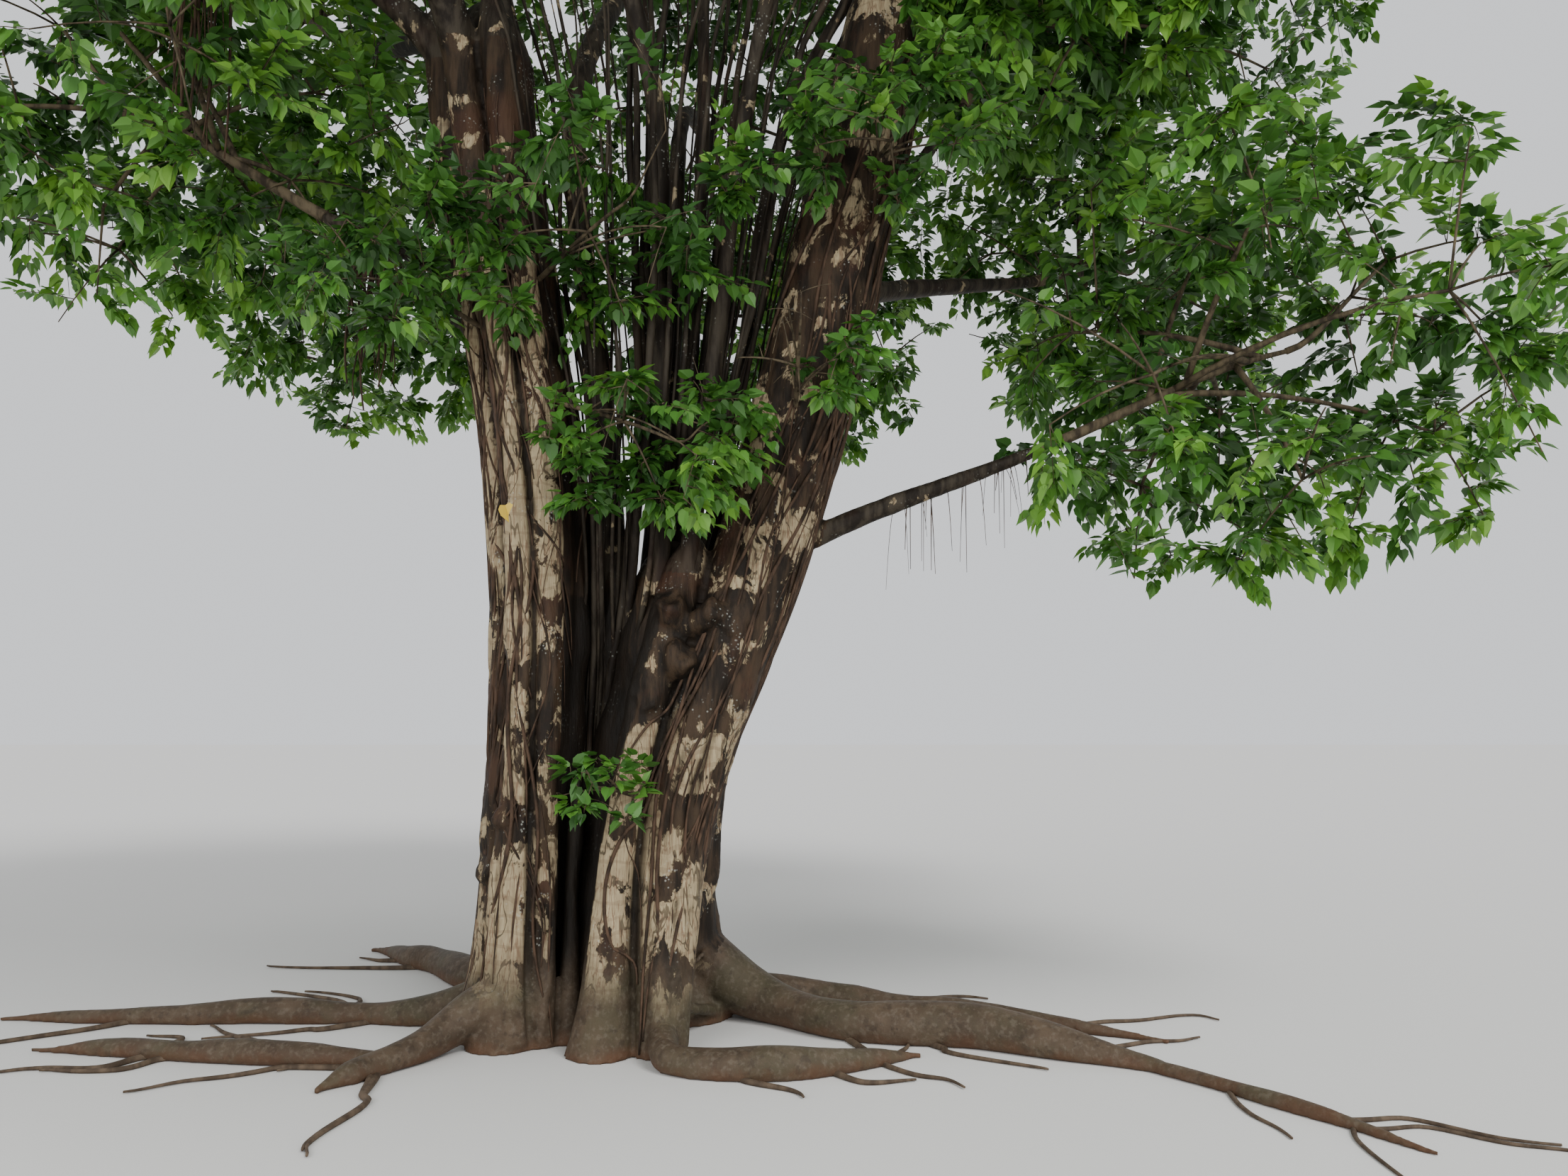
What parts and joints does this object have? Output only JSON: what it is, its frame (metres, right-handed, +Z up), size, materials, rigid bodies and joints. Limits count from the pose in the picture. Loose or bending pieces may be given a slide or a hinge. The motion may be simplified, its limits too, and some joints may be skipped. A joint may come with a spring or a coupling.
{
  "type": "banyan tree",
  "caption": "Banyan tree with a fluted trunk of fused columns that forks low, surface roots, slim poles in the fork and a broad leafy crown.",
  "frame": {"origin": "on the flat cut at ground level, in the middle of the trunk's foot", "axes": "+Z up the trunk, -Y the side the picture shows, +X to the right in the picture"},
  "size_m": [10.7962, 10.8592, 11.2768],
  "materials": {
    "bark": "rough fluted bark, dark brown with cream patches",
    "root_bark": "smooth grey-brown bark",
    "foliage": "soft sheen, mid to dark green"
  },
  "bodies": {
    "root": {"trunk": "bark", "left_stem": "bark", "right_stem": "bark", "pole_1": "bark", "pole_2": "bark", "pole_3": "bark", "pole_4": "bark", "pole_5": "bark", "pole_6": "bark", "bough_left_front": "bark", "bough_left_out": "bark", "bough_left_back": "bark", "bough_left_inner": "bark", "bough_right_front": "bark", "bough_right_out": "bark", "bough_right_back": "bark", "bough_low_right": "bark", "bough_low_left": "bark", "bough_inner_right": "bark", "bough_low_back_left": "bark", "bough_low_back": "bark", "bough_low_back_side": "bark", "root_left_front": "root_bark", "root_left_branch": "root_bark", "root_left_side": "root_bark", "root_back_left": "root_bark", "root_back": "root_bark", "root_right_main": "root_bark", "root_right_end": "root_bark", "root_right_back": "root_bark", "root_front_right": "root_bark", "hanging_roots_far_left": "root_bark", "hanging_roots_left": "root_bark", "foliage_top": "foliage", "foliage_upper_1": "foliage", "foliage_upper_2": "foliage", "foliage_upper_3": "foliage", "foliage_upper_4": "foliage", "foliage_upper_5": "foliage", "foliage_middle_1": "foliage", "foliage_middle_2": "foliage", "foliage_middle_3": "foliage", "foliage_middle_4": "foliage", "foliage_middle_5": "foliage", "foliage_middle_6": "foliage", "foliage_middle_7": "foliage", "foliage_low_left": "foliage", "foliage_low_right": "foliage", "foliage_inner_right": "foliage", "foliage_low_back_left": "foliage", "foliage_low_back": "foliage", "foliage_low_back_right": "foliage", "shoots_front_upper": "foliage", "shoots_front_middle": "foliage", "shoots_front_right": "foliage", "shoots_left": "foliage", "shoots_right_upper": "foliage", "shoots_low": "foliage"}
  },
  "joints": []
}
